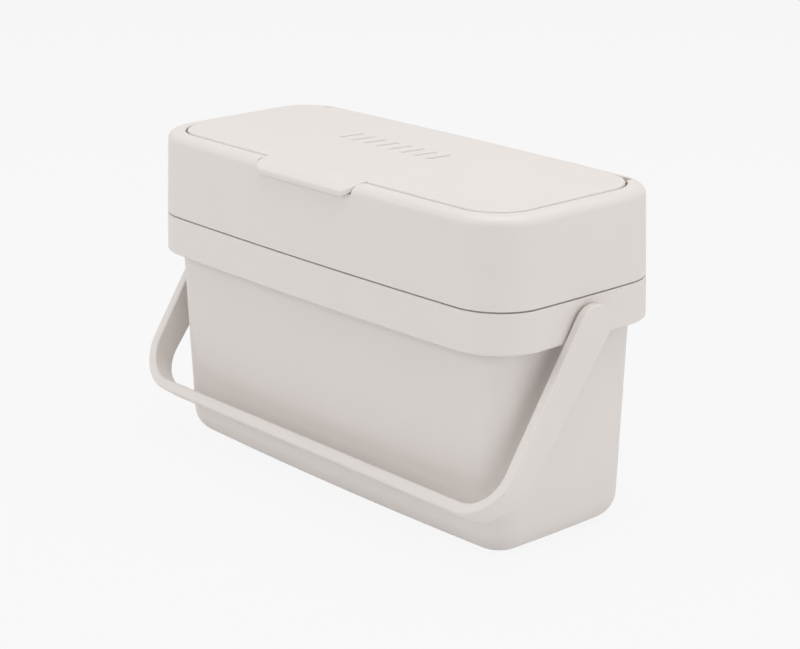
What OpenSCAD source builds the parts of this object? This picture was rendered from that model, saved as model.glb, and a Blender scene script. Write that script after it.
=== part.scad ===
// Compost caddy for a kitchen worktop: a tapered bucket with an overhanging collar, a lift-off
// hood, a flush hinged lid with a vent and an odour filter, and a strap handle that swings over it.
// Millimetres. The origin is the middle of the footprint, on the base. +Z is up and -Y is the front.

/* [Overall] */
// Length of the caddy at the seam between bucket and hood
body_len = 300; // [290:1:310]
// Depth at the middle of the long walls, at the seam
body_dep = 133; // [130:1:136]
// Height of the hood's top rim
body_h = 189.2; // [188:0.1:191]
// Height of the bucket's top deck, just under the seam
deck_z = 139.9; // [138:0.1:141]
// Width of the dark line between collar and hood
seam_gap = 0.8; // [0.6:0.1:1.2]
// Corner radius in plan, at the seam
corner_r = 29.5; // [26:0.5:32]
// How far the long walls bow outwards at their middle
bow_long = 3; // [2:0.1:3.5]
// How far the short walls bow outwards at their middle
bow_short = 1; // [0.5:0.1:1.5]

/* [Bucket] */
// Wall thickness of the moulded parts
wall = 2.2; // [2:0.1:2.5]
// Height of the collar's lower edge
collar_z = 117.4; // [114:0.1:119]
// How far the collar hangs out past the bucket's end walls
overhang_x = 9.6; // [9:0.1:10.5]
// How far the collar hangs out past the bucket's long walls
overhang_y = 9.2; // [8.8:0.1:10]
// How far each end wall leans in from collar to base
taper_x = 1.2; // [0.5:0.1:2]
// How far each long wall leans in from collar to base
taper_y = 4; // [3:0.5:5]
// Radius of the rounded edge round the base
base_edge_r = 15; // [12:1:18]

/* [Hood and lid] */
// How far the hood's walls lean in from seam to top
hood_lean = 1.8; // [1.2:0.1:2.2]
// Radius of the rounded edge round the hood's top
hood_edge_r = 5; // [4.5:0.1:5.5]
// Length of the lid
lid_len = 274.8; // [273:0.2:276]
// Distance from the middle to the lid's front edge
lid_front = 54.7; // [54:0.1:55]
// Corner radius of the lid in plan
lid_corner_r = 23.8; // [22:0.2:25]
// Gap between the lid and the hood round it
lid_gap = 1.2; // [1.1:0.1:1.4]
// How far the lid's top stands above the hood's rim
lid_proud = 0.7; // [0.4:0.1:0.9]
// Thickness of the lid's top panel
lid_t = 2.6; // [2.4:0.1:2.8]
// Width of the finger tab
tab_w = 82; // [78:1:90]
// How far the finger tab sits to the right of the middle
tab_x = -2; // [-3:0.5:3]
// How far the finger tab reaches forward of the middle
tab_reach = 68.3; // [68:0.1:69.5]

/* [Vent and filter] */
// Number of vent slots in the lid
slot_count = 8; // [6:1:8]
// Distance from one vent slot to the next
slot_pitch = 10.6; // [10.2:0.1:10.7]
// Width of a vent slot
slot_w = 2.4; // [2:0.1:2.8]
// Length of a vent slot
slot_len = 16.6; // [14:0.2:18]
// How far the slots lean, in degrees
slot_lean = 8.7; // [6:0.1:10]

/* [Handle] */
// Width of the handle across its arms
handle_w = 314; // [313:0.5:316]
// Distance from the pivots to the underside of the grip
handle_drop = 117.2; // [116:0.1:119]
// Width of the strap at the pivots
strap_top_w = 24; // [22:1:25]
// Width of the strap at the grip
strap_grip_w = 14; // [13:1:16]
// Thickness of the arms at the pivots
arm_t = 5; // [4.6:0.1:5.2]
// Thickness of the grip
grip_t = 6.5; // [6:0.1:7]
// Angle of the resting handle forward of straight down
rest_angle = 35.5; // [35:0.5:38]
// Height of the handle's pivots
pivot_z = 125; // [124:0.5:126]

/* [Hidden] */
$fn = 96;
stone = [0.86, 0.84, 0.81];
half_len = body_len / 2;
half_dep = body_dep / 2;
arc_steps = 9;
long_steps = 8;
short_steps = 3;
eps = 0.01;
far = 200;

// Bucket, worked out from the collar.
tub_len = half_len - overhang_x;
tub_dep = half_dep - overhang_y;
tub_corner_top = 15.5;
tub_corner_base = 19;
collar_flare = 0.6;
deck_t = 2.5;
floor_t = 2.5;
tub_inner_edge_r = base_edge_r - wall;
boss_r = 7.2;
boss_in = 146;
boss_out = half_len + collar_flare + 0.6;
peg_r = 4.5;
peg_gap = 0.05;
peg_head_r = 5.6;
peg_head_t = 2;
rib_t = 1.8;
rib_y = 13;

// Hood.
hood_z = deck_z + seam_gap;
hood_wall = 2.4;
seat_z = body_h - 4.4;
seat_t = 2.4;
cup_t = 2.2;
mouth_len = 129;
mouth_front = 46.5;
mouth_back = 43.5;
mouth_corner_r = 16;
flange_t = 2.2;
flange_step = 3.5;
skirt_depth = 12;
skirt_gap = 0.9;
skirt_t = 1.8;

// Lid and its hinge.
lid_top = body_h + lid_proud;
lid_back = 55.3;
lid_mid = (lid_back - lid_front) / 2;
lid_half_dep = (lid_back + lid_front) / 2;
lid_bow = 1;
lid_bow_side = 0.2;
lid_rim_t = 2.2;
lid_rim_z = seat_z + 0.2;
panel_z = lid_top - lid_t;
lid_edge_r = 0.6;
hinge_in = 2.4;
hinge_y = lid_back - hinge_in;
hinge_z = lid_top - hinge_in;
barrel_r = 2.3;
barrel_gap = 0.8;
pin_r = 0.8;
pin_gap = 0.05;
pin_from = 104;
pin_to = 136;
channel_y = 56.15;
channel_z = 184;
ramp_x = [122.5, 128.6];

// Finger tab: a band of an arc that droops over the hood's front edge.
tab_start = 55;
tab_drop_r = 22.3;
tab_t = 2.6;
tab_corner_r = 8;
tab_clear = 0.8;
notch_side = 0.5;
tab_ends = [tab_x - tab_w / 2, tab_x + tab_w / 2];

// Vent, liner and filter, all under the lid.
vent_x0 = -51.3;
vent_y = 12.7;
slider_x = [-72, 36];
slider_y = [-1.1, 26.7];
slider_t = 1.8;
slider_lift = 0.2;
lug_x = [30.5, 35.5];
lug_y = [8.5, 15.5];
lug_z = 176;
liner_x = [-76, 44];
liner_y = [-14, 37];
liner_z = 172;
liner_wall = 1.8;
shelf_z = [183.2, 184.9];
pocket_end = 26;
filter_x = [-74.2, 26];
filter_y = [-12.2, 35.2];
filter_z = [176.6, 183.2];
cover_z = [172.2, 174.6];
cover_gap = 0.6;
cover_pin_r = 0.9;
cover_pivot_y = 32.5;
cover_pivot_z = (cover_z[0] + cover_z[1]) / 2;
grille_count = 8;

// Handle, in its own hanging plane: x across, v down from the pivots.
handle_half = handle_w / 2;
corner_out_r = 30;
corner_in_r = 22;

// Points of one quarter turn of radius r about (cx, cy), from angle a.
function quarter(cx, cy, r, a) =
    [for (i = [0:arc_steps]) [cx + r * cos(a + 90 * i / arc_steps), cy + r * sin(a + 90 * i / arc_steps)]];

// The steps strictly between two points.
function between(p, q, n) = [for (i = [1:n - 1]) p + (q - p) * i / n];

// A rounded rectangle with half sizes a and b and corner radius r, counter-clockwise.
function rounded(a, b, r) = let (x = a - r, y = b - r) concat(
    quarter(x, -y, r, -90), between([a, -y], [a, y], short_steps),
    quarter(x, y, r, 0), between([x, b], [-x, b], long_steps),
    quarter(-x, y, r, 90), between([-a, y], [-a, -y], short_steps),
    quarter(-x, -y, r, 180), between([-x, -b], [x, -b], long_steps));

// The same with bowed walls: front, back and side give how far each wall's middle stands out.
function bowed(a, b, r, front = bow_long, back = bow_long, side = bow_short) =
    [for (p = rounded(a, b, r)) let (s = p.y < 0 ? front : back) [
        p.x - sign(p.x) * side * pow(p.y / b, 2) * abs(p.x) / a,
        p.y - sign(p.y) * s * pow(p.x / a, 2) * abs(p.y) / b]];

function at_z(points, z) = [for (p = points) [p.x, p.y, z]];

// A closed skin through layers of points, lowest layer first.
module loft(layers) {
    n = len(layers[0]);
    m = len(layers);
    polyhedron(
        points = [for (l = layers) each l],
        faces = concat(
            [[for (i = [0:n - 1]) i]],
            [for (k = [0:m - 2], i = [0:n - 1]) let (j = (i + 1) % n)
                each [[k * n + i, (k + 1) * n + i, (k + 1) * n + j], [k * n + i, (k + 1) * n + j, k * n + j]]],
            [[for (i = [n - 1:-1:0]) (m - 1) * n + i]]));
}

// The bucket's tub at height z, moved in by the given inset.
function tub_layer(z, inset, lift = 0) =
    let (t = z / deck_z)
    at_z(bowed(
        tub_len - taper_x * (1 - t) - inset,
        tub_dep - taper_y * (1 - t) - inset,
        max(tub_corner_base + (tub_corner_top - tub_corner_base) * t - inset, 3)), z + lift);

// The tub as a solid, from a rounded base edge of radius r up to z_top.
module tub(r, inset, z_bottom, z_top) {
    loft(concat(
        [for (t = [0:15:90]) tub_layer(z_bottom + r * (1 - cos(t)), inset + r * (1 - sin(t)))],
        [tub_layer(z_top, inset)]));
}

// The collar as a solid, moved in by the given inset, between two heights.
module collar(inset, z0, z1) {
    function flare(z) = collar_flare * (deck_z - z) / (deck_z - collar_z);
    loft([for (z = [z0, z1])
        at_z(bowed(half_len + flare(z) - inset, half_dep + flare(z) - inset, corner_r + flare(z) - inset), z)]);
}

// The hood's outer form, moved in by the given inset, from z0 to z_top with a rounded top edge.
module hood_form(inset, z0, z_top) {
    r = hood_edge_r - inset / 2;
    function lean(z) = hood_lean * (z - hood_z) / (body_h - hood_z);
    function layer(z, more) = at_z(bowed(
        half_len - lean(z) - inset - more, half_dep - lean(z) - inset - more,
        corner_r - lean(z) - inset - more), z);
    loft(concat([layer(z0, 0)], [for (t = [0:15:90]) layer(z_top - r * (1 - sin(t)), r * (1 - cos(t)))]));
}

// The lid's outline in plan, grown by g.
module lid_outline(g) {
    translate([0, lid_mid])
        polygon(bowed(lid_len / 2 + g, lid_half_dep + g, lid_corner_r + g, lid_bow, 0, lid_bow_side));
}

// A box from the lower to the upper limits on each axis.
module block(x, y, z) {
    translate([x[0], y[0], z[0]])
        cube([x[1] - x[0], y[1] - y[0], z[1] - z[0]]);
}

// A rod along X at (y, z).
module rod_x(x0, x1, y, z, r) {
    translate([x0, y, z])
        rotate([0, 90, 0])
            cylinder(h = x1 - x0, r = r);
}

// A slot with round ends that runs along Y, turned by the given lean, centred at (x, y), from z0 to z1.
module slot_y(x, y, length, width, z0, z1, lean = 0) {
    translate([x, y, z0])
        rotate([0, 0, -lean])
            linear_extrude(z1 - z0) {
                square([width, length - width], center = true);
                for (s = [-1, 1])
                    translate([0, s * (length - width) / 2])
                        circle(d = width, $fn = 32);
            }
}

module bucket() color(stone) {
    difference() {
        union() {
            tub(base_edge_r, 0, 0, deck_z - deck_t / 2);
            difference() {
                collar(0, collar_z, deck_z);
                collar(wall, collar_z - 1, deck_z - deck_t);
            }
            for (s = [-1, 1]) {
                rod_x(s < 0 ? -boss_out : boss_in, s < 0 ? -boss_in : boss_out, 0, pivot_z, boss_r);
                for (y = [-rib_y, rib_y])
                    block(s < 0 ? [-half_len + wall / 2, -tub_len + wall / 2] : [tub_len - wall / 2, half_len - wall / 2],
                        [y - rib_t / 2, y + rib_t / 2], [collar_z + wall, deck_z - deck_t / 2]);
            }
        }
        tub(tub_inner_edge_r, wall, floor_t, deck_z + 1);
        for (s = [-1, 1])
            rod_x(s < 0 ? -far : boss_in - 1, s < 0 ? 1 - boss_in : far, 0, pivot_z, peg_r + peg_gap);
    }
}

// The tab's arc in the Y-Z plane as a solid of radius r, as wide as the given width.
module droop(r, width) {
    rod_x(-width / 2, width / 2, -tab_start, lid_top - tab_drop_r, r);
}

module hood() color(stone) {
    difference() {
        union() {
            difference() {
                hood_form(0, hood_z, body_h);
                difference() {
                    hood_form(hood_wall, hood_z - 1, body_h - hood_wall);
                    translate([0, 0, seat_z - seat_t])
                        linear_extrude(far)
                            lid_outline(lid_gap + cup_t);
                    block([tab_ends[0] - 4, tab_ends[1] + 4], [-far, -lid_front], [seat_z - seat_t, far]);
                    block([-pin_to - 3, pin_to + 3], [hinge_y - 6, far], [seat_z - seat_t, far]);
                }
            }
            // Flange that rests on the bucket's deck, and the skirt that drops inside the bucket.
            difference() {
                union() {
                    loft([for (z = [deck_z, deck_z + flange_t])
                        at_z(bowed(half_len - flange_step, half_dep - flange_step, corner_r - flange_step), z)]);
                    loft([for (z = [hood_z, deck_z + flange_t])
                        at_z(bowed(half_len - hood_wall / 2, half_dep - hood_wall / 2, corner_r - hood_wall / 2), z)]);
                    loft([for (z = [deck_z - skirt_depth, deck_z + flange_t])
                        [for (p = tub_layer(deck_z - skirt_depth, wall + skirt_gap)) [p.x, p.y, z]]]);
                }
                loft([for (z = [deck_z - skirt_depth - 1, deck_z + flange_t + 1])
                    [for (p = tub_layer(deck_z - skirt_depth, wall + skirt_gap + skirt_t)) [p.x, p.y, z]]]);
            }
        }
        // Recess for the lid, with a channel at the back that its hinged edge swings through. The
        // channel's ends ramp up so that the lid's back corners pass the rim.
        translate([0, 0, seat_z])
            linear_extrude(far)
                lid_outline(lid_gap);
        translate([0, channel_y, 0])
            rotate([90, 0, 0])
                linear_extrude(channel_y - mouth_back)
                    polygon([[-ramp_x[1], body_h], [-ramp_x[0], channel_z], [ramp_x[0], channel_z],
                        [ramp_x[1], body_h], [ramp_x[1], far], [-ramp_x[1], far]]);
        // Blind bores that hold the hinge pins.
        for (s = [-1, 1])
            rod_x(s < 0 ? -pin_to : pin_from, s < 0 ? -pin_from : pin_to, hinge_y, hinge_z, pin_r);
        // Mouth through the seat.
        translate([0, (mouth_back - mouth_front) / 2, seat_z - seat_t - 1])
            linear_extrude(far)
                polygon(rounded(mouth_len, (mouth_back + mouth_front) / 2, mouth_corner_r));
        // Notch in the front rim under the finger tab.
        difference() {
            translate([0, 0, seat_z - seat_t])
                linear_extrude(far)
                    tab_outline(notch_side);
            droop(tab_drop_r - tab_t - tab_clear, far);
        }
    }
}

module hinge_pin_left() color("silver")
    rod_x(-pin_to, -pin_from, hinge_y, hinge_z, pin_r);

module hinge_pin_right() color("silver")
    rod_x(pin_from, pin_to, hinge_y, hinge_z, pin_r);

// The row of vent slots, shifted along X by dx.
module vent_slots(dx, width, length, z0, z1) {
    for (i = [0:slot_count - 1])
        slot_y(vent_x0 + i * slot_pitch + dx, vent_y, length, width, z0, z1, slot_lean);
}

module lid() color(stone) {
    difference() {
        union() {
            translate([0, lid_mid, 0])
                loft([for (k = [[panel_z, 0], [lid_top - lid_edge_r, 0], [lid_top - 0.3 * lid_edge_r, 0.3 * lid_edge_r],
                                [lid_top, lid_edge_r]])
                    at_z(bowed(lid_len / 2 - k[1], lid_half_dep - k[1], lid_corner_r - k[1],
                        lid_bow, 0, lid_bow_side), k[0])]);
            // Barrel along the back edge, trimmed to the lid's round corners.
            intersection() {
                rod_x(-lid_len / 2, lid_len / 2, hinge_y, hinge_z, barrel_r);
                translate([0, 0, seat_z])
                    linear_extrude(far)
                        lid_outline(-0.1);
            }
            lid_rim();
            finger_tab();
        }
        vent_slots(0, slot_w, slot_len, panel_z - 1, far);
        for (s = [-1, 1])
            rod_x(s < 0 ? -pin_to - 1 : pin_from - 1, s < 0 ? 1 - pin_from : pin_to + 1,
                hinge_y, hinge_z, pin_r + pin_gap);
    }
}

// Stiffening rim under the lid's edge, which rests just off the seat. It stops short of the hinge.
module lid_rim() {
    difference() {
        translate([0, 0, lid_rim_z])
            linear_extrude(panel_z - lid_rim_z + 1)
                difference() {
                    lid_outline(-1);
                    lid_outline(-1 - lid_rim_t);
                }
        block([-far, far], [hinge_y - barrel_r - barrel_gap - lid_rim_t, far], [0, far]);
    }
    block([-lid_len / 2 + lid_corner_r, lid_len / 2 - lid_corner_r],
        [hinge_y - barrel_r - barrel_gap - 2 * lid_rim_t, hinge_y - barrel_r - barrel_gap - lid_rim_t],
        [lid_rim_z, panel_z + 1]);
}

// Drooping band in front of the lid, with rounded front corners in plan.
module finger_tab() {
    intersection() {
        difference() {
            droop(tab_drop_r, 2 * tab_w);
            droop(tab_drop_r - tab_t, far);
        }
        translate([0, 0, lid_top - tab_drop_r])
            linear_extrude(far)
                tab_outline(0);
    }
}

// The finger tab's outline in plan, grown by g.
module tab_outline(g) {
    r = tab_corner_r + g;
    x = tab_w / 2 + g;
    reach = tab_reach + g;
    translate([tab_x, 0]) {
        translate([-x, r - reach])
            square([2 * x, reach - r - lid_front + lid_bow + 1]);
        translate([r - x, -reach])
            square([2 * (x - r), r + 1]);
        for (s = [-1, 1])
            translate([s * (x - r), r - reach])
                circle(r);
    }
}

// Housing under the lid: a channel for the slider above a shelf, and a pocket for the filter below it.
module lid_liner() color(stone) {
    inner_x = [liner_x[0] + liner_wall, liner_x[1] - liner_wall];
    inner_y = [liner_y[0] + liner_wall, liner_y[1] - liner_wall];
    difference() {
        block(liner_x, liner_y, [liner_z, panel_z]);
        block(inner_x, [slider_y[0] - 0.3, slider_y[1] + 0.3], [shelf_z[1], far]);
        block([inner_x[0], pocket_end], inner_y, [0, shelf_z[0]]);
        block([pocket_end + liner_wall, inner_x[1]], inner_y, [0, shelf_z[0]]);
        vent_slots(0, slot_w + 3, slot_len + 2, shelf_z[0] - 1, far);
        block([lug_x[0] - 0.6, lug_x[1] + slot_pitch / 2 + 0.6], [lug_y[0] - 0.4, lug_y[1] + 0.4], [0, far]);
        rod_x(liner_x[0] - 1, pocket_end + liner_wall + 1, cover_pivot_y, cover_pivot_z, cover_pin_r + pin_gap);
    }
}

// Shutter under the vent: its slots sit between the lid's slots when the vent is shut.
module vent_slider() color(stone) {
    z1 = panel_z - slider_lift;
    difference() {
        union() {
            block(slider_x, slider_y, [z1 - slider_t, z1]);
            block(lug_x, lug_y, [lug_z, z1]);
        }
        vent_slots(-slot_pitch / 2, slot_w, slot_len, 0, far);
    }
}

module carbon_filter() color([0.16, 0.16, 0.17])
    block(filter_x, filter_y, filter_z);

// Grille that closes the filter's pocket and drops open on two stub pins.
module filter_cover() color(stone) {
    x0 = liner_x[0] + liner_wall + cover_gap;
    x1 = pocket_end - cover_gap;
    y0 = liner_y[0] + liner_wall + cover_gap;
    y1 = liner_y[1] - liner_wall - cover_gap;
    step = (x1 - x0) / grille_count;
    difference() {
        block([x0, x1], [y0, y1], cover_z);
        for (i = [0:grille_count - 1])
            slot_y(x0 + step * (i + 0.5), (y0 + y1) / 2 - 2, y1 - y0 - 12, step * 0.45, 0, far);
    }
    rod_x(liner_x[0], x0 + eps, cover_pivot_y, cover_pivot_z, cover_pin_r);
    rod_x(x1 - eps, pocket_end + liner_wall, cover_pivot_y, cover_pivot_z, cover_pin_r);
}

// Front view of a U: straight arms, round lower corners of radius r, bottom at -drop.
module u_form(half_top, half_low, drop, r) {
    polygon([[-half_top, far / 8], [half_top, far / 8], [half_low, r - drop], [-half_low, r - drop]]);
    translate([r - half_low, -drop])
        square([2 * (half_low - r), r + eps]);
    for (s = [-1, 1])
        translate([s * (half_low - r), r - drop])
            circle(r);
}

// The handle in its hanging plane: a U seen from the front, cut to a strap that narrows to the grip.
module handle() color(stone) {
    translate([0, 0, pivot_z])
        rotate([-rest_angle, 0, 0]) {
            intersection() {
                rotate([90, 0, 0])
                    linear_extrude(2 * strap_top_w, center = true)
                        difference() {
                            u_form(handle_half, handle_half, handle_drop, corner_out_r);
                            u_form(handle_half - arm_t, handle_half - grip_t, handle_drop - grip_t, corner_in_r);
                        }
                rotate([90, 0, 90])
                    linear_extrude(2 * far, center = true) {
                        circle(d = strap_top_w);
                        polygon([[-strap_top_w / 2, 0], [strap_top_w / 2, 0],
                            [strap_grip_w / 2, -handle_drop - 1], [-strap_grip_w / 2, -handle_drop - 1]]);
                    }
            }
            for (s = [-1, 1]) {
                rod_x(s < 0 ? -handle_half + 1 : boss_in - peg_head_t, s < 0 ? peg_head_t - boss_in : handle_half - 1,
                    0, 0, peg_r);
                rod_x(s < 0 ? 0.3 - boss_in : boss_in - peg_head_t - 0.3, s < 0 ? peg_head_t + 0.3 - boss_in : boss_in - 0.3,
                    0, 0, peg_head_r);
            }
        }
}

bucket();
hood();
hinge_pin_left();
hinge_pin_right();
lid();
lid_liner();
vent_slider();
carbon_filter();
filter_cover();
handle();
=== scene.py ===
"""Dresses the compost caddy's frame: smooth moulded shells over the CAD bodies, stone-coloured
plastic, soft studio light and the photograph's camera."""

from math import cos, radians, sin, sqrt

import bmesh
import bpy
from mathutils import Matrix, Vector


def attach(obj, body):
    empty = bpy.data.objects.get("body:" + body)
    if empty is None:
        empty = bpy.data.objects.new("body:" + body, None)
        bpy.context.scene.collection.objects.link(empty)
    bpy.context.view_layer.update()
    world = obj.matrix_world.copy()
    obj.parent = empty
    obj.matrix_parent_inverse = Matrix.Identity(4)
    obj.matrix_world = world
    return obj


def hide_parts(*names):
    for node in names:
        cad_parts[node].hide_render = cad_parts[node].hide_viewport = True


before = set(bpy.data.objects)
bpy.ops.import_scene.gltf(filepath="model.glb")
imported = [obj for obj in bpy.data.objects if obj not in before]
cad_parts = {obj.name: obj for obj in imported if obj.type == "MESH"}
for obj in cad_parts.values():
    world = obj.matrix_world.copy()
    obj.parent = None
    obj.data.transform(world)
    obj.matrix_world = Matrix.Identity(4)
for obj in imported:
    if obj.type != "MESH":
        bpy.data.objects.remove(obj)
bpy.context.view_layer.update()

MM = 0.001

# The caddy's sizes in millimetres, the same as its CAD solids.
HALF_LEN, HALF_DEP, BODY_H = 150.0, 66.5, 189.2
DECK_Z, HOOD_Z = 139.9, 140.7
CORNER_R = 29.5
BOW_LONG, BOW_SHORT = 3.0, 1.0
WALL = 2.2
COLLAR_Z, COLLAR_FLARE, DECK_T = 117.4, 0.6, 2.5
TUB_LEN, TUB_DEP = 140.4, 57.3
TAPER_X, TAPER_Y = 1.2, 4.0
TUB_R_TOP, TUB_R_BASE, TUB_R_LEAST = 15.5, 19.0, 3.0
BASE_EDGE_R, FLOOR_T = 15.0, 2.5
BOSS_R, BOSS_IN, BOSS_OUT = 7.2, 146.0, 151.2
PEG_R, PEG_BORE_R = 4.5, 4.55
PEG_HEAD_R, PEG_HEAD_T, PEG_HEAD_GAP, PEG_SINK = 5.6, 2.0, 0.3, 1.0
RIB_T, RIB_Y = 1.8, 13.0
HOOD_LEAN, HOOD_EDGE_R, HOOD_WALL = 1.8, 5.0, 2.4
SEAT_Z, SEAT_T = 184.8, 2.4
MOUTH_LEN, MOUTH_FRONT, MOUTH_BACK, MOUTH_R = 129.0, 46.5, 43.5, 16.0
FLANGE_T, FLANGE_STEP = 2.2, 3.5
SKIRT_DEPTH, SKIRT_GAP, SKIRT_T = 12.0, 0.9, 1.8
LID_LEN, LID_FRONT, LID_BACK, LID_R = 274.8, 54.7, 55.3, 23.8
LID_GAP, LID_T, LID_BOW, LID_BOW_SIDE = 1.2, 2.6, 1.0, 0.2
LID_TOP = BODY_H + 0.7
LID_MID, LID_HALF_DEP = (LID_BACK - LID_FRONT) / 2, (LID_BACK + LID_FRONT) / 2
PANEL_Z = LID_TOP - LID_T
LID_RIM_IN, LID_RIM_T, LID_RIM_Z = 1.0, 2.2, SEAT_Z + 0.2
HINGE_Y, HINGE_Z = LID_BACK - 2.4, LID_TOP - 2.4
BARREL_R, BARREL_GAP, BARREL_TRIM = 2.3, 0.8, 0.1
PIN_R, PIN_BORE_R, PIN_FROM, PIN_TO = 0.8, 0.85, 104.0, 136.0
CHANNEL_Y = 56.15
TAB_X, TAB_W, TAB_REACH, TAB_START = -2.0, 82.0, 68.3, 55.0
TAB_R, TAB_T, TAB_CORNER = 22.3, 2.6, 8.0
TAB_ROOT_Y = -LID_FRONT + LID_BOW + 1
TAB_CLEAR, NOTCH_SIDE = 0.8, 0.5
SLOTS, SLOT_PITCH, SLOT_W, SLOT_LEN = 8, 10.6, 2.4, 16.6
SLOT_LEAN, SLOT_X0, SLOT_Y = 8.7, -51.3, 12.7
HANDLE_HALF, HANDLE_DROP, PIVOT_Z, REST_ANGLE = 157.0, 117.2, 125.0, 35.5
STRAP_TOP_W, STRAP_GRIP_W, ARM_T, GRIP_T = 24.0, 14.0, 5.0, 6.5
HANDLE_OUT_R, HANDLE_IN_R, THICKEN_ABOVE = 30.0, 22.0, 25.0

# Roundings that differ from the solids', or that only the shells have.
BUCKET_LIP_R, UNDER_DECK_R, BOSS_EDGE_R = 0.5, 1.6, 0.4
HOOD_LIP_R, HOLLOW_R, RECESS_EDGE_R, MOUTH_EDGE_R = 0.4, 4.0, 0.3, 0.5
LID_EDGE_R, LID_UNDER_R, TAB_EDGE_R, SLOT_FLARE = 1.4, 0.3, 0.7, 1.0
HANDLE_EDGE_R = 1.1
# The channel's ends in short slopes, where the solid has one straight slope.
CHANNEL_RAMP = ((114.5, 184.0), (118.5, 184.8), (122.5, 185.8),
                (125.0, 187.0), (127.0, 188.2), (128.6, BODY_H))

# Mesh density, and heights of the rings between two edges of a long wall.
ARC_STEPS, LONG_STEPS, SHORT_STEPS = 16, 28, 10
TUB_INSIDE_Z, TUB_OUTSIDE_Z = (40, 80, 115), (100, 60)
COLLAR_FACE_Z, HOOD_FACE_Z, HOLLOW_FACE_Z = (132, 124), (152, 164, 175), 160
HANDLE_STEPS = 80

# Cutters reach past what they cut, and joined parts lie inside each other.
FAR, PAST, LAP, FLANGE_LAP = 200.0, 5.0, 1.0, 0.01
# Points nearer than this are one point.
WELD = 0.002


# Outlines and rings.
def turn(cx, cy, r, start, sweep=90, steps=ARC_STEPS):
    """Points of a turn about (cx, cy), counter-clockwise from an angle in degrees."""
    angles = [radians(start + sweep * i / steps) for i in range(steps + 1)]
    return [(cx + r * cos(a), cy + r * sin(a)) for a in angles]


def between(p, q, n):
    """The points strictly between p and q that cut the way into n equal steps."""
    return [(p[0] + (q[0] - p[0]) * i / n, p[1] + (q[1] - p[1]) * i / n) for i in range(1, n)]


def rounded(a, b, r):
    """A rounded rectangle's points, with half sizes a and b, counter-clockwise."""
    x, y = a - r, b - r
    return (turn(x, -y, r, -90) + between((a, -y), (a, y), SHORT_STEPS)
            + turn(x, y, r, 0) + between((x, b), (-x, b), LONG_STEPS)
            + turn(-x, y, r, 90) + between((-a, y), (-a, -y), SHORT_STEPS)
            + turn(-x, -y, r, 180) + between((-x, -b), (x, -b), LONG_STEPS))


def bowed(a, b, r, front=BOW_LONG, back=BOW_LONG, side=BOW_SHORT):
    """A rounded rectangle whose walls' middles stand out by front, back and side."""
    points = []
    for x, y in rounded(a, b, r):
        long_bow = (front if y < 0 else back) * (x / a) ** 2 * y / b
        short_bow = side * (y / b) ** 2 * x / a
        points.append((x - short_bow, y - long_bow))
    return points


def ring(points, z, dy=0.0):
    return [(x, y + dy, z) for x, y in points]


def arc(r, steps, sweep=90):
    """Points along a rounded edge, as their depths below its two faces: the first depth grows
    from 0 and the second shrinks to 0 over a quarter turn."""
    turns = [radians(sweep * i / steps) for i in range(steps + 1)]
    return [(r * (1 - cos(t)), r * (1 - sin(t))) for t in turns]


# Mesh helpers.
def add_object(name, data):
    made = bpy.data.objects.new(name, data)
    bpy.context.scene.collection.objects.link(made)
    return made


def to_object(name, bm):
    mesh = bpy.data.meshes.new(name)
    bm.to_mesh(mesh)
    bm.free()
    return add_object(name, mesh)


def to_object_in_mm(name, bm):
    bmesh.ops.scale(bm, vec=(MM, MM, MM), verts=bm.verts)
    return to_object(name, bm)


def loft(name, rings, closed=False):
    """A skin through rings of equal length, with end caps, or with its last ring joined to its
    first where it is closed."""
    bm = bmesh.new()
    rows = [[bm.verts.new(p) for p in r] for r in rings]
    n = len(rows[0])
    for low, high in zip(rows, rows[1:] + rows[:1] if closed else rows[1:]):
        for i in range(n):
            bm.faces.new((low[i], low[(i + 1) % n], high[(i + 1) % n], high[i]))
    if not closed:
        bm.faces.new(rows[0][::-1])
        bm.faces.new(rows[-1])
    bmesh.ops.recalc_face_normals(bm, faces=bm.faces)
    return to_object_in_mm(name, bm)


def block(name, x, y, z):
    """A box from the lower to the upper limits on each axis."""
    bm = bmesh.new()
    bmesh.ops.create_cube(bm, size=1)
    for v in bm.verts:
        v.co = Vector([low + (c + 0.5) * (high - low) for c, (low, high) in zip(v.co, (x, y, z))])
    return to_object_in_mm(name, bm)


def rod_x(name, x0, x1, y, z, r, steps=64, edge=0.0):
    """A rod along X, with its ends' edges rounded by edge."""
    x0, x1 = sorted((x0, x1))
    stations = [(x0, r), (x1, r)]
    if edge:
        corner = arc(edge, 4)
        stations = [(x0 + b, r - a) for a, b in corner[::-1]] + [(x1 - b, r - a) for a, b in corner]
    return loft(name, [[(x, *point) for point in turn(y, z, q, 0, 360, steps)[:-1]]
                       for x, q in stations])


def strip(name, stations, layers, place):
    """A curved plate. Each station has a point (s, w) of its right-hand outline and the outline's
    outward normal; each layer has a height and how far its outline is set in."""
    bm = bmesh.new()
    rows = []
    for s, w, ns, nw in stations:
        right = [place(s - d * ns, max(w - d * nw, 0), h, 1) for h, d in layers]
        left = [place(s - d * ns, max(w - d * nw, 0), h, -1) for h, d in layers]
        rows.append([bm.verts.new(p) for p in right + left[::-1]])
    n = len(rows[0])
    for near, far in zip(rows, rows[1:]):
        for i in range(n):
            bm.faces.new((near[i], near[(i + 1) % n], far[(i + 1) % n], far[i]))
    for row in (rows[0], rows[-1]):
        for k in range(len(layers) - 1):
            bm.faces.new((row[k], row[k + 1], row[n - 2 - k], row[n - 1 - k]))
    bmesh.ops.remove_doubles(bm, verts=bm.verts, dist=WELD)
    bmesh.ops.dissolve_degenerate(bm, dist=WELD, edges=bm.edges)
    bmesh.ops.recalc_face_normals(bm, faces=bm.faces)
    return to_object_in_mm(name, bm)


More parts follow.
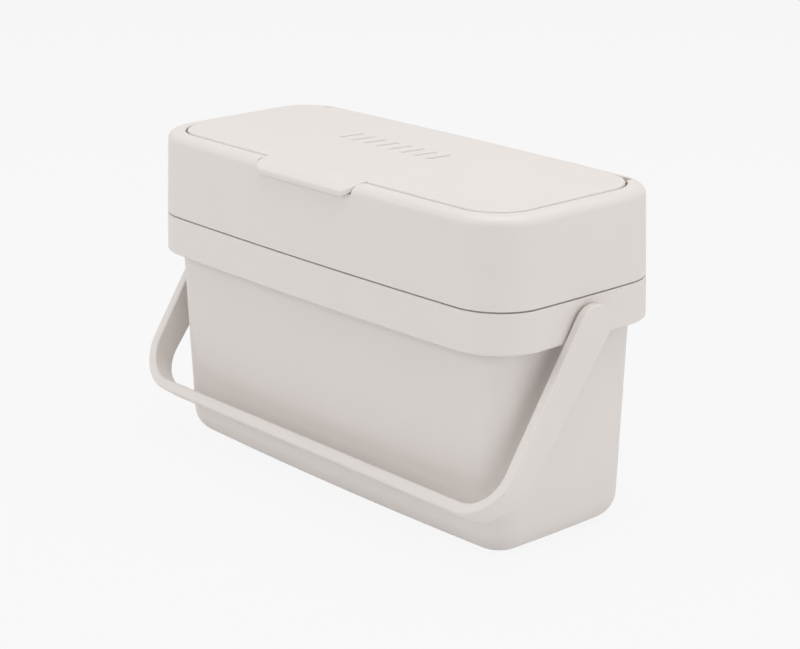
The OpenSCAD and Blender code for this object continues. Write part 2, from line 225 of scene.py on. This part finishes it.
def edge_layers(thickness, r):
    """Layers of a plate with both edges rounded."""
    low = arc(r, 5)
    return low + [(thickness - h, d) for h, d in low[::-1]]


def cut(piece, operation, *tools):
    """Applies exact booleans with the tools, which are used up."""
    for tool in tools:
        modifier = piece.modifiers.new("cut", "BOOLEAN")
        modifier.operation = operation
        modifier.solver = "EXACT"
        modifier.object = tool
        evaluated = piece.evaluated_get(bpy.context.evaluated_depsgraph_get())
        mesh = bpy.data.meshes.new_from_object(evaluated)
        piece.modifiers.clear()
        old = piece.data
        piece.data = mesh
        bpy.data.meshes.remove(old)
        bpy.data.objects.remove(tool)
    return piece


def smooth(piece, angle=32.0):
    """Smooth shading with crisp edges above the angle, and flats kept flat."""
    bm = bmesh.new()
    bm.from_mesh(piece.data)
    bmesh.ops.remove_doubles(bm, verts=bm.verts, dist=WELD * MM)
    bmesh.ops.dissolve_degenerate(bm, dist=WELD * MM, edges=bm.edges)
    bm.to_mesh(piece.data)
    bm.free()
    piece.data.shade_smooth()
    piece.data.set_sharp_from_angle(angle=radians(angle))
    weighted = piece.modifiers.new("flats", "WEIGHTED_NORMAL")
    weighted.keep_sharp = True
    weighted.mode = "FACE_AREA_WITH_ANGLE"
    return piece


# Materials.
def set_inputs(node, values):
    """Sets a node's own sockets, named with underscores in place of spaces."""
    for name, value in values.items():
        node.inputs[name.replace("_", " ")].default_value = value


def add_node(tree, kind, **values):
    node = tree.nodes.new("ShaderNode" + kind)
    set_inputs(node, values)
    return node


def node_material(name, **constants):
    """A material, its node tree and its shader, with constants set on the shader's sockets."""
    material = bpy.data.materials.new(name)
    material.use_nodes = True
    shader = material.node_tree.nodes["Principled BSDF"]
    set_inputs(shader, constants)
    return material, material.node_tree, shader


def textured(tree, kind, place, **values):
    """A texture node that reads the given place."""
    node = add_node(tree, kind, **values)
    tree.links.new(place, node.inputs["Vector"])
    return node


def object_place(tree):
    return tree.nodes.new("ShaderNodeTexCoord").outputs["Object"]


def ramp_into(tree, source, target, low, high, start=0.0, end=1.0):
    """Drives the target's colour from low to high by the source."""
    node = add_node(tree, "ValToRGB")
    first, last = node.color_ramp.elements
    first.position, last.position = start, end
    first.color, last.color = (*low, 1), (*high, 1)
    tree.links.new(source, node.inputs["Fac"])
    tree.links.new(node.outputs["Color"], target)


def bump_into(tree, height, shader, strength, distance):
    node = add_node(tree, "Bump", Strength=strength, Distance=distance)
    tree.links.new(height, node.inputs["Height"])
    tree.links.new(node.outputs["Normal"], shader.inputs["Normal"])


def moulded_plastic(name, light, dark, roughness=0.47, unevenness=0.05):
    """Moulded plastic: slight drift in colour, uneven sheen and a fine spark-eroded grain."""
    material, tree, shader = node_material(name, Specular_IOR_Level=0.42)
    place = object_place(tree)
    drift = textured(tree, "TexNoise", place, Scale=14, Detail=3)
    sheen = textured(tree, "TexNoise", place, Scale=55, Detail=4)
    pores = textured(tree, "TexNoise", place, Scale=2600, Detail=2)
    ramp_into(tree, drift.outputs["Fac"], shader.inputs["Base Color"], dark, light,
              start=0.3, end=0.7)
    ramp_into(tree, sheen.outputs["Fac"], shader.inputs["Roughness"],
              (roughness - unevenness,) * 3, (roughness + unevenness,) * 3, start=0.3, end=0.7)
    bump_into(tree, pores.outputs["Fac"], shader, strength=0.12, distance=0.00008)
    return material


def drawn_steel(name):
    """Drawn wire: fine lines along its length."""
    material, tree, shader = node_material(name, Metallic=1.0, Roughness=0.32)
    stretch = textured(tree, "Mapping", object_place(tree), Scale=(40, 3000, 3000))
    lines = textured(tree, "TexNoise", stretch.outputs["Vector"], Scale=1, Detail=3)
    ramp_into(tree, lines.outputs["Fac"], shader.inputs["Base Color"],
              (0.42, 0.42, 0.41), (0.66, 0.66, 0.65))
    return material


def carbon_foam(name):
    """Open-cell foam loaded with carbon: paler cell walls, with painted shade darkening each cell's
    hollow.
    """
    material, tree, shader = node_material(name, Roughness=0.95)
    cells = textured(tree, "TexVoronoi", object_place(tree), Scale=900)
    # Painted shade: the colour darkens toward each cell's centre, where the bump sinks a hollow.
    ramp_into(tree, cells.outputs["Distance"], shader.inputs["Base Color"],
              (0.006, 0.006, 0.007), (0.055, 0.055, 0.058))
    bump_into(tree, cells.outputs["Distance"], shader, strength=0.9, distance=0.0006)
    return material


def use(piece, material):
    piece.data.materials.clear()
    piece.data.materials.append(material)


# The bucket, one skin from the floor inside, over the deck and collar, to the base.
def tub_ring(z, inset, at=None):
    """A ring of the tapered tub's wall at z, with its outline taken at another height if given."""
    t = (z if at is None else at) / DECK_Z
    r = max(TUB_R_BASE + (TUB_R_TOP - TUB_R_BASE) * t - inset, TUB_R_LEAST)
    half_len, half_dep = TUB_LEN - TAPER_X * (1 - t) - inset, TUB_DEP - TAPER_Y * (1 - t) - inset
    return ring(bowed(half_len, half_dep, r), z)


def collar_ring(z, inset):
    flare = COLLAR_FLARE * (DECK_Z - z) / (DECK_Z - COLLAR_Z) - inset
    return ring(bowed(HALF_LEN + flare, HALF_DEP + flare, CORNER_R + flare), z)


def make_bucket():
    lip, under_deck = arc(BUCKET_LIP_R, 6), arc(UNDER_DECK_R, 6)
    under = DECK_Z - DECK_T
    rings = [tub_ring(FLOOR_T + a, WALL + b) for a, b in arc(BASE_EDGE_R - WALL, 10)]
    rings += [tub_ring(z, WALL) for z in TUB_INSIDE_Z]
    # Over the lip to the deck, out to the collar and down its face.
    rings += [tub_ring(DECK_Z - b, WALL - a) for a, b in lip]
    rings += [collar_ring(DECK_Z - a, b) for a, b in lip]
    rings += [collar_ring(z, 0) for z in COLLAR_FACE_Z]
    # Round the collar's lower edge and back up inside it.
    rings += [collar_ring(COLLAR_Z + b, a) for a, b in arc(WALL / 2, 12, sweep=180)]
    rings += [collar_ring(under - b, WALL + a) for a, b in under_deck]
    # In under the deck, down the tub's wall and round its base.
    rings += [tub_ring(under - a, -b) for a, b in under_deck]
    rings += [tub_ring(z, 0) for z in TUB_OUTSIDE_Z]
    rings += [tub_ring(b, a) for a, b in arc(BASE_EDGE_R, 10)]
    made = loft("bucket_shell", rings)
    for s in (-1, 1):
        cut(made, "UNION",
            rod_x("boss", s * BOSS_IN, s * BOSS_OUT, 0, PIVOT_Z, BOSS_R, edge=BOSS_EDGE_R))
        x = sorted((s * (TUB_LEN - WALL / 2), s * (HALF_LEN - WALL / 2)))
        for y in (-RIB_Y, RIB_Y):
            cut(made, "UNION", block("rib", x, (y - RIB_T / 2, y + RIB_T / 2),
                                     (COLLAR_Z + WALL, DECK_Z - DECK_T / 2)))
        cut(made, "DIFFERENCE",
            rod_x("bore", s * (BOSS_IN - LAP), s * FAR, 0, PIVOT_Z, PEG_BORE_R))
    return made


# The hood: a hollow shell with a recess for the lid.
def hood_ring(z, inset, more=0.0):
    lean = HOOD_LEAN * (z - HOOD_Z) / (BODY_H - HOOD_Z)
    off = lean + inset + more
    return ring(bowed(HALF_LEN - off, HALF_DEP - off, CORNER_R - off), z)


def lid_ring(z, grow):
    outline = bowed(LID_LEN / 2 + grow, LID_HALF_DEP + grow, LID_R + grow,
                    LID_BOW, 0, LID_BOW_SIDE)
    return ring(outline, z, LID_MID)


def tab_outline(grow):
    """The finger tab's outline in plan, counter-clockwise from its back right corner."""
    r, half, front = TAB_CORNER + grow, TAB_W / 2 + grow, -TAB_REACH - grow
    points = [(half, TAB_ROOT_Y), (-half, TAB_ROOT_Y)]
    points += turn(r - half, front + r, r, 180) + turn(half - r, front + r, r, 270)
    return [(x + TAB_X, y) for x, y in points]


def mouth_ring(z, grow=0.0):
    mid, half = (MOUTH_BACK - MOUTH_FRONT) / 2, (MOUTH_BACK + MOUTH_FRONT) / 2
    return ring(rounded(MOUTH_LEN + grow, half + grow, MOUTH_R + grow), z, mid)


def make_frill():
    """The flange that rests on the deck, and the skirt that drops inside the bucket."""
    top = DECK_Z + FLANGE_T
    skirt_z = DECK_Z - SKIRT_DEPTH

    def skirt_ring(z, inset):
        return tub_ring(z, WALL + SKIRT_GAP + inset, at=skirt_z)

    def flange_ring(z, inset):
        return ring(bowed(HALF_LEN - inset, HALF_DEP - inset, CORNER_R - inset), z)

    rings = [skirt_ring(top, SKIRT_T)]
    rings += [skirt_ring(skirt_z + b, SKIRT_T - a) for a, b in arc(SKIRT_T / 2, 12, sweep=180)]
    rings += [skirt_ring(DECK_Z, 0), flange_ring(DECK_Z, FLANGE_STEP)]
    rings += [flange_ring(HOOD_Z + FLANGE_LAP, inset) for inset in (FLANGE_STEP, HOOD_WALL / 2)]
    rings += [flange_ring(top, HOOD_WALL / 2)]
    return loft("frill", rings, closed=True)


def make_hood():
    outer = [hood_ring(HOOD_Z + b, 0, a) for a, b in arc(HOOD_LIP_R, 4)[::-1]]
    outer += [hood_ring(z, 0) for z in HOOD_FACE_Z]
    outer += [hood_ring(BODY_H - b, 0, a) for a, b in arc(HOOD_EDGE_R, 10)]
    made = loft("hood_shell", outer)

    # The hollow ends under the seat. The solid's goes on up in the rim, outside the recess.
    inner_top = SEAT_Z - SEAT_T
    hollow = [hood_ring(z, HOOD_WALL) for z in (HOOD_Z - LAP, HOLLOW_FACE_Z, inner_top - HOLLOW_R)]
    hollow += [hood_ring(inner_top - b, HOOD_WALL, a) for a, b in arc(HOLLOW_R, 5)]
    recess = [lid_ring(SEAT_Z, LID_GAP)]
    recess += [lid_ring(BODY_H - b, LID_GAP + a) for a, b in arc(RECESS_EDGE_R, 3)]
    recess += [lid_ring(BODY_H + PAST, LID_GAP + RECESS_EDGE_R)]
    mouth = [mouth_ring(inner_top - PAST)]
    mouth += [mouth_ring(SEAT_Z - b, a) for a, b in arc(MOUTH_EDGE_R, 3)]
    mouth += [mouth_ring(SEAT_Z + PAST, MOUTH_EDGE_R)]
    cut(made, "DIFFERENCE", loft("hollow", hollow), loft("recess", recess), loft("mouth", mouth))

    # The channel that the lid's hinged edge swings through. Its ends ramp up for the lid's corners.
    channel = [*CHANNEL_RAMP, (CHANNEL_RAMP[-1][0], FAR)]
    channel = [(-x, z) for x, z in channel[::-1]] + channel
    cut(made, "DIFFERENCE",
        loft("channel", [[(x, y, z) for x, z in channel] for y in (MOUTH_BACK, CHANNEL_Y)]))
    for s in (-1, 1):
        cut(made, "DIFFERENCE",
            rod_x("bore", s * PIN_FROM, s * PIN_TO, HINGE_Y, HINGE_Z, PIN_R, steps=32))

    # The notch under the finger tab keeps a floor that follows the tab's curve.
    notch = loft("notch", [ring(tab_outline(NOTCH_SIDE), z) for z in (inner_top, BODY_H + PAST)])
    cut(notch, "DIFFERENCE", rod_x("floor", -FAR, FAR, -TAB_START, LID_TOP - TAB_R,
                                   TAB_R - TAB_T - TAB_CLEAR, steps=192))
    cut(made, "DIFFERENCE", notch)
    return cut(made, "UNION", make_frill())


# The lid: a flush panel with a rolled back edge, a rim under it and a drooping tab.
def make_tab():
    half = TAB_W / 2
    centre = -TAB_REACH + TAB_CORNER
    stations = [(TAB_ROOT_Y + (centre - TAB_ROOT_Y) * i / 12, half, 0, 1) for i in range(13)]
    for t in (radians(t) for t in range(6, 91, 6)):
        stations.append((centre - TAB_CORNER * sin(t), half - TAB_CORNER + TAB_CORNER * cos(t),
                         -sin(t), cos(t)))

    def place(s, w, h, side):
        r = TAB_R - TAB_T + h
        return (TAB_X + side * w, s, LID_TOP - TAB_R + sqrt(r * r - (s + TAB_START) ** 2))

    return strip("tab", stations, edge_layers(TAB_T, TAB_EDGE_R), place)


def slot_cutters():
    """Cutters for the vent's slots, whose mouths open out at the lid's top."""
    levels = [(PANEL_Z - LAP, 0)] + [(LID_TOP - b, a) for a, b in arc(SLOT_FLARE, 3)]
    levels += [(LID_TOP + LAP, SLOT_FLARE)]
    lean = Matrix.Rotation(radians(-SLOT_LEAN), 2)
    half = (SLOT_LEN - SLOT_W) / 2
    cutters = []
    for x in (SLOT_X0 + i * SLOT_PITCH for i in range(SLOTS)):
        rings = []
        for z, grow in levels:
            r = SLOT_W / 2 + grow
            ends = turn(0, half, r, 0, 180, 12) + turn(0, -half, r, 180, 180, 12)
            rings.append([(x + p.x, SLOT_Y + p.y, z) for p in (lean @ Vector(e) for e in ends)])
        cutters.append(loft("slot", rings))
    return cutters


def make_lid():
    rings = [lid_ring(PANEL_Z + b, -a) for a, b in arc(LID_UNDER_R, 3)[::-1]]
    rings += [lid_ring(LID_TOP - b, -a) for a, b in arc(LID_EDGE_R, 6)]
    made = loft("lid_shell", rings)

    rim_top, rim_out, rim_in = PANEL_Z + LAP, -LID_RIM_IN, -LID_RIM_IN - LID_RIM_T
    rim = loft("rim", [lid_ring(LID_RIM_Z, rim_out), lid_ring(rim_top, rim_out),
                       lid_ring(rim_top, rim_in), lid_ring(LID_RIM_Z, rim_in)], closed=True)
    back = HINGE_Y - BARREL_R - BARREL_GAP - LID_RIM_T
    cut(rim, "DIFFERENCE", block("clear", (-FAR, FAR), (back, FAR), (0, FAR)))
    stiffener = block("stiffener", (-LID_LEN / 2 + LID_R, LID_LEN / 2 - LID_R),
                      (back - LID_RIM_T, back), (LID_RIM_Z, rim_top))
    barrel = rod_x("barrel", -LID_LEN / 2, LID_LEN / 2, HINGE_Y, HINGE_Z, BARREL_R, steps=96)
    cut(barrel, "INTERSECT",
        loft("trim", [lid_ring(z, -BARREL_TRIM) for z in (SEAT_Z, BODY_H + PAST)]))
    cut(made, "UNION", rim, make_tab(), stiffener, barrel)
    cut(made, "DIFFERENCE", *slot_cutters())
    for s in (-1, 1):
        cut(made, "DIFFERENCE", rod_x("bore", s * (PIN_FROM - LAP), s * PIN_TO,
                                      HINGE_Y, HINGE_Z, PIN_BORE_R, steps=32))
    return made


# The handle: one plate bent round a U, with round ends and rounded edges.
def make_handle():
    side_len = HANDLE_DROP - HANDLE_OUT_R
    inner_low = HANDLE_HALF - GRIP_T
    in_x, in_z = inner_low - HANDLE_IN_R, HANDLE_DROP - GRIP_T - HANDLE_IN_R
    out_x, out_z = HANDLE_HALF - HANDLE_OUT_R, side_len
    # The arms get thicker from a point above the pivot down to the bend.
    thicken = (GRIP_T - ARM_T) / (in_z + THICKEN_ABOVE)
    corner_len = radians(90) * (HANDLE_OUT_R + HANDLE_IN_R) / 2
    half_grip = (in_x + out_x) / 2
    total = side_len + corner_len + half_grip

    def width(depth):
        taper = (STRAP_GRIP_W - STRAP_TOP_W) * max(depth, 0) / (HANDLE_DROP + 1)
        return (STRAP_TOP_W + taper) / 2

    def faces_at(s):
        """Outer and inner point (x, depth) of the right half of the U, s along from the pivot."""
        if s <= side_len:
            depth_in = s if s < 0 else s / side_len * in_z
            return (HANDLE_HALF, s), (inner_low + thicken * (in_z - depth_in), depth_in)
        if s <= side_len + corner_len:
            a = (s - side_len) / corner_len * radians(90)
            return ((out_x + HANDLE_OUT_R * cos(a), out_z + HANDLE_OUT_R * sin(a)),
                    (in_x + HANDLE_IN_R * cos(a), in_z + HANDLE_IN_R * sin(a)))
        t = (s - side_len - corner_len) / half_grip
        return (out_x * (1 - t), HANDLE_DROP), (in_x * (1 - t), HANDLE_DROP - GRIP_T)

    top_r = STRAP_TOP_W / 2
    stations = [(-top_r * cos(t), top_r * sin(t), -cos(t), sin(t))
                for t in (radians(t) for t in range(0, 90, 5))]
    stations += [(s, width(faces_at(s)[0][1]), 0, 1)
                 for s in (total * i / HANDLE_STEPS for i in range(HANDLE_STEPS + 1))]
    slope = Matrix.Rotation(radians(-REST_ANGLE), 3, "X")

    def half_handle(sign):
        def place(s, w, h, side):
            outer, inner = faces_at(s)
            x = outer[0] + (inner[0] - outer[0]) * h / ARM_T
            depth = outer[1] + (inner[1] - outer[1]) * h / ARM_T
            local = slope @ Vector((sign * x, side * w, -depth))
            return (local.x, local.y, local.z + PIVOT_Z)
        return place

    bm = bmesh.new()
    for sign in (-1, 1):
        arm = strip("arm", stations, edge_layers(ARM_T, HANDLE_EDGE_R), half_handle(sign))
        bm.from_mesh(arm.data)
        bpy.data.objects.remove(arm)
    # The two halves meet in the middle of the grip, where their end caps go.
    middle = [f for f in bm.faces if all(abs(v.co.x) < WELD * MM for v in f.verts)]
    bmesh.ops.delete(bm, geom=middle, context="FACES")
    bmesh.ops.remove_doubles(bm, verts=bm.verts, dist=WELD * MM)
    bmesh.ops.recalc_face_normals(bm, faces=bm.faces)
    made = to_object("handle_shell", bm)
    for s in (-1, 1):
        head_out = BOSS_IN - PEG_HEAD_GAP
        peg = rod_x("peg", s * (BOSS_IN - PEG_HEAD_T), s * (HANDLE_HALF - PEG_SINK),
                    0, PIVOT_Z, PEG_R)
        cut(peg, "UNION", rod_x("head", s * (head_out - PEG_HEAD_T), s * head_out,
                                0, PIVOT_Z, PEG_HEAD_R, edge=BOSS_EDGE_R))
        cut(made, "UNION", peg)
    return made


# Build the pieces and hang them on their bodies.
STONE_LIGHT, STONE_DARK = (0.764, 0.718, 0.690), (0.754, 0.708, 0.680)
INNER_LIGHT, INNER_DARK = (0.66, 0.63, 0.61), (0.63, 0.60, 0.58)
stone = moulded_plastic("stone_plastic_visual", STONE_LIGHT, STONE_DARK)
inner = moulded_plastic("inner_plastic_visual", INNER_LIGHT, INNER_DARK, roughness=0.55)
steel = drawn_steel("pin_steel_visual")
foam = carbon_foam("carbon_foam_visual")

SHELLS = (
    (make_bucket, "bucket", "bucket_body"),
    (make_hood, "hood", "hood_body"),
    (make_lid, "lid", "lid_body"),
    (make_handle, "handle", "handle_body"),
)
for make, node, body in SHELLS:
    shell = smooth(make())
    use(shell, stone)
    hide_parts(node)
    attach(shell, body)

for node, material in (("lid_liner", inner), ("vent_slider", inner), ("filter_cover", inner),
                       ("hinge_pin_left", steel), ("hinge_pin_right", steel),
                       ("carbon_filter", foam)):
    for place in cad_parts[node].material_slots:
        place.material = material

# Floor and light. Both the floor and the world look like white paper to the camera and in
# reflections. The floor keeps a faint shadow.
PAPER = (0.947, 0.947, 0.947, 1)
FLOOR_WHITE = (0.88, 0.88, 0.88, 1)
FLOOR_HALF = 6
SHADOW_SHARE = 0.06
WORLD_STRENGTH = 0.3
LAMP_TARGET = (0, 0, 0.1)
# Each lamp's name, place, size and power.
LAMPS = (
    ("softbox_top", (0.1, 0.1, 1.7), (1.8, 1.8), 18.3),
    ("softbox_right", (1.8, -0.4, 0.5), (1.3, 0.7), 5.7),
    ("softbox_right_back", (1.5, 0.9, 0.8), (1.2, 1.2), 5.6),
    ("softbox_left_front", (-1.3, -1.5, 0.9), (1.4, 1.2), 6.5),
    ("softbox_front", (-0.4, -1.9, 0.9), (1.4, 1.2), 8.3),
)


def seen_directly(tree, share):
    """A factor that is share for camera, glossy and transmission rays and 0 for the rest."""
    rays = tree.nodes.new("ShaderNodeLightPath")
    total = rays.outputs["Is Camera Ray"]
    for name in ("Is Glossy Ray", "Is Transmission Ray"):
        either = tree.nodes.new("ShaderNodeMath")
        either.operation = "MAXIMUM"
        tree.links.new(total, either.inputs[0])
        tree.links.new(rays.outputs[name], either.inputs[1])
        total = either.outputs[0]
    scaled = tree.nodes.new("ShaderNodeMath")
    scaled.operation = "MULTIPLY"
    scaled.inputs[1].default_value = share
    tree.links.new(total, scaled.inputs[0])
    return scaled.outputs[0]


def show_paper(tree, plain, paper, output, share=1.0):
    """Blends the paper's shader over the plain one for rays that see it directly."""
    blend = tree.nodes.new("ShaderNodeMixShader")
    tree.links.new(seen_directly(tree, share), blend.inputs[0])
    tree.links.new(plain, blend.inputs[1])
    tree.links.new(paper, blend.inputs[2])
    tree.links.new(blend.outputs["Shader"], tree.nodes[output].inputs["Surface"])


def stage_floor():
    bm = bmesh.new()
    bmesh.ops.create_grid(bm, x_segments=1, y_segments=1, size=FLOOR_HALF)
    floor = to_object("floor", bm)
    material, tree, shader = node_material("floor_paper", Base_Color=FLOOR_WHITE, Roughness=0.9,
                                           Specular_IOR_Level=0.0)
    paper = add_node(tree, "Emission", Color=PAPER)
    show_paper(tree, shader.outputs["BSDF"], paper.outputs["Emission"], "Material Output",
               1 - SHADOW_SHARE)
    use(floor, material)


def light_world():
    world = bpy.data.worlds.new("studio")
    bpy.context.scene.world = world
    world.use_nodes = True
    tree = world.node_tree
    light = tree.nodes["Background"]
    set_inputs(light, {"Color": (1, 1, 1, 1), "Strength": WORLD_STRENGTH})
    paper = add_node(tree, "Background", Color=PAPER, Strength=1)
    show_paper(tree, light.outputs["Background"], paper.outputs["Background"], "World Output")


def area_light(name, place, size, power):
    data = bpy.data.lights.new(name, "AREA")
    data.shape = "RECTANGLE"
    data.size, data.size_y = size
    data.energy = power
    lamp = add_object(name, data)
    lamp.location = place
    aim = Vector(LAMP_TARGET) - Vector(place)
    lamp.rotation_euler = aim.to_track_quat("-Z", "Y").to_euler()


stage_floor()
for lamp in LAMPS:
    area_light(*lamp)
light_world()

# The photograph's camera, as fitted to the caddy's edges.
CAMERA_PLACE = (0.84552, -0.75203, 0.45212)
CAMERA_AZIMUTH, CAMERA_ELEVATION = 48.18, 17.79
LENS, SENSOR_WIDTH = 93.02, 36

camera_data = bpy.data.cameras.new("camera")
camera_data.sensor_width = SENSOR_WIDTH
camera_data.lens = LENS
camera = add_object("camera", camera_data)
camera.location = CAMERA_PLACE
camera.rotation_euler = (radians(90 - CAMERA_ELEVATION), 0, radians(CAMERA_AZIMUTH))
bpy.context.scene.camera = camera
bpy.context.scene.view_settings.view_transform = "Standard"
